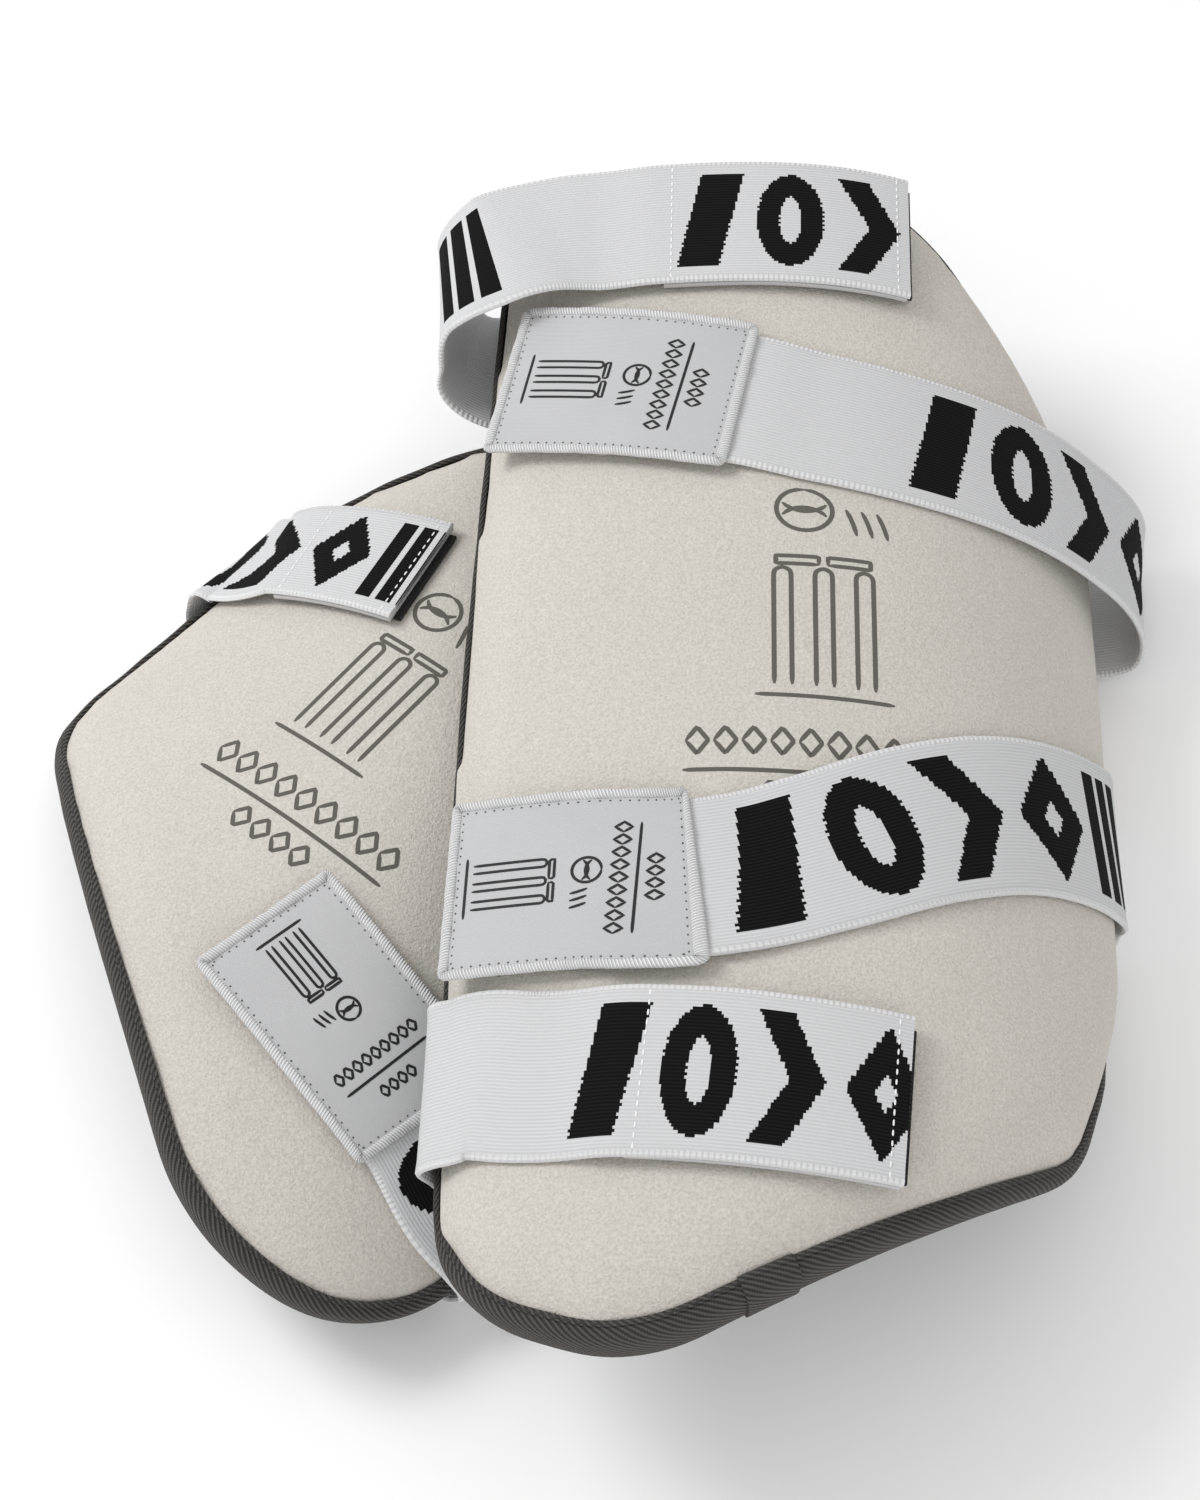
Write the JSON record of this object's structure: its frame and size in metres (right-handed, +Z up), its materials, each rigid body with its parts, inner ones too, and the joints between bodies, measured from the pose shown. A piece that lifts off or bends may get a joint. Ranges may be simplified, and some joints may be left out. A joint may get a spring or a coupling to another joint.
{
  "type": "cricket thigh guard set",
  "caption": "Bent padded thigh guards with bound edges, a large one laid over a small one, each wrapped by wide elastic straps with label tabs and hook ends.",
  "frame": {"origin": "centre of the bounding box of the whole set at table level", "axes": "+Z up from the table, +Y along the outer guard towards its upper end, +X to the right as the faces are read"},
  "size_m": [0.337, 0.386, 0.1007],
  "materials": {
    "face_cover": "brushed loop fabric, cream",
    "impact_foam": "closed-cell foam, matt",
    "foam_insert": "dense moulded insert, matt",
    "comfort_foam": "soft foam, matt",
    "back_lining": "knitted lining, matt",
    "edge_binding": "woven twill tape, matt",
    "binding_lap": "woven twill tape, matt",
    "elastic_band": "woven elastic, matt",
    "label_satin": "woven satin, soft sheen",
    "label_border": "overlocked thread, soft sheen",
    "hook_tape": "hook tape, matt",
    "tail_backing": "woven elastic, matt"
  },
  "bodies": {
    "inner_guard": {"inner_face_cover": "face_cover", "inner_impact_foam": "impact_foam", "inner_foam_insert": "foam_insert", "inner_comfort_foam": "comfort_foam", "inner_back_lining": "back_lining", "inner_edge_binding": "edge_binding", "inner_binding_lap": "binding_lap", "inner_band": "elastic_band"},
    "outer_guard": {"outer_face_cover": "face_cover", "outer_impact_foam": "impact_foam", "outer_foam_insert": "foam_insert", "outer_comfort_foam": "comfort_foam", "outer_back_lining": "back_lining", "outer_edge_binding": "edge_binding", "outer_binding_lap": "binding_lap", "upper_band": "elastic_band", "lower_band": "elastic_band"},
    "upper_tab": {"upper_tab_band": "elastic_band", "upper_label": "label_satin", "upper_label_border": "label_border", "upper_tab_hook": "hook_tape"},
    "upper_tail": {"upper_tail_band": "elastic_band", "upper_tail_backing": "tail_backing", "upper_tail_hook": "hook_tape"},
    "lower_tab": {"lower_tab_band": "elastic_band", "lower_label": "label_satin", "lower_label_border": "label_border", "lower_tab_hook": "hook_tape"},
    "lower_tail": {"lower_tail_band": "elastic_band", "lower_tail_backing": "tail_backing", "lower_tail_hook": "hook_tape"},
    "inner_tab": {"inner_tab_band": "elastic_band", "inner_label": "label_satin", "inner_label_border": "label_border", "inner_tab_hook": "hook_tape"},
    "inner_tail": {"inner_tail_band": "elastic_band", "inner_tail_backing": "tail_backing", "inner_tail_hook": "hook_tape"}
  },
  "joints": [
    {"name": "outer_lift", "type": "slide", "parent": "inner_guard", "child": "outer_guard", "axis": [0, 0, 1], "range_m": [0, 0.2]},
    {"name": "upper_tab_lift", "type": "hinge", "parent": "outer_guard", "child": "upper_tab", "pos_m": [0.04356, 0.09373, 0.09838], "axis": [0.2167, 0.9762, 0.0062], "range_deg": [0, 65]},
    {"name": "upper_tail_lift", "type": "hinge", "parent": "outer_guard", "child": "upper_tail", "pos_m": [0.01926, 0.16372, 0.09767], "axis": [-0.0175, -0.9998, 0.0015], "range_deg": [0, 60]},
    {"name": "lower_tab_lift", "type": "hinge", "parent": "outer_guard", "child": "lower_tab", "pos_m": [0.02765, -0.06904, 0.09761], "axis": [-0.1074, 0.9941, -0.013], "range_deg": [0, 65]},
    {"name": "lower_tail_lift", "type": "hinge", "parent": "outer_guard", "child": "lower_tail", "pos_m": [0.00772, -0.12512, 0.09648], "axis": [-0.1092, -0.9939, -0.0156], "range_deg": [0, 60]},
    {"name": "inner_tab_lift", "type": "hinge", "parent": "inner_guard", "child": "inner_tab", "pos_m": [-0.04727, -0.11517, 0.04125], "axis": [0.7606, 0.6447, -0.0763], "range_deg": [0, 2]},
    {"name": "inner_tail_lift", "type": "hinge", "parent": "inner_guard", "child": "inner_tail", "pos_m": [-0.09406, 0.08078, 0.03986], "axis": [-0.4329, -0.8948, 0.1095], "range_deg": [0, 60]}
  ]
}
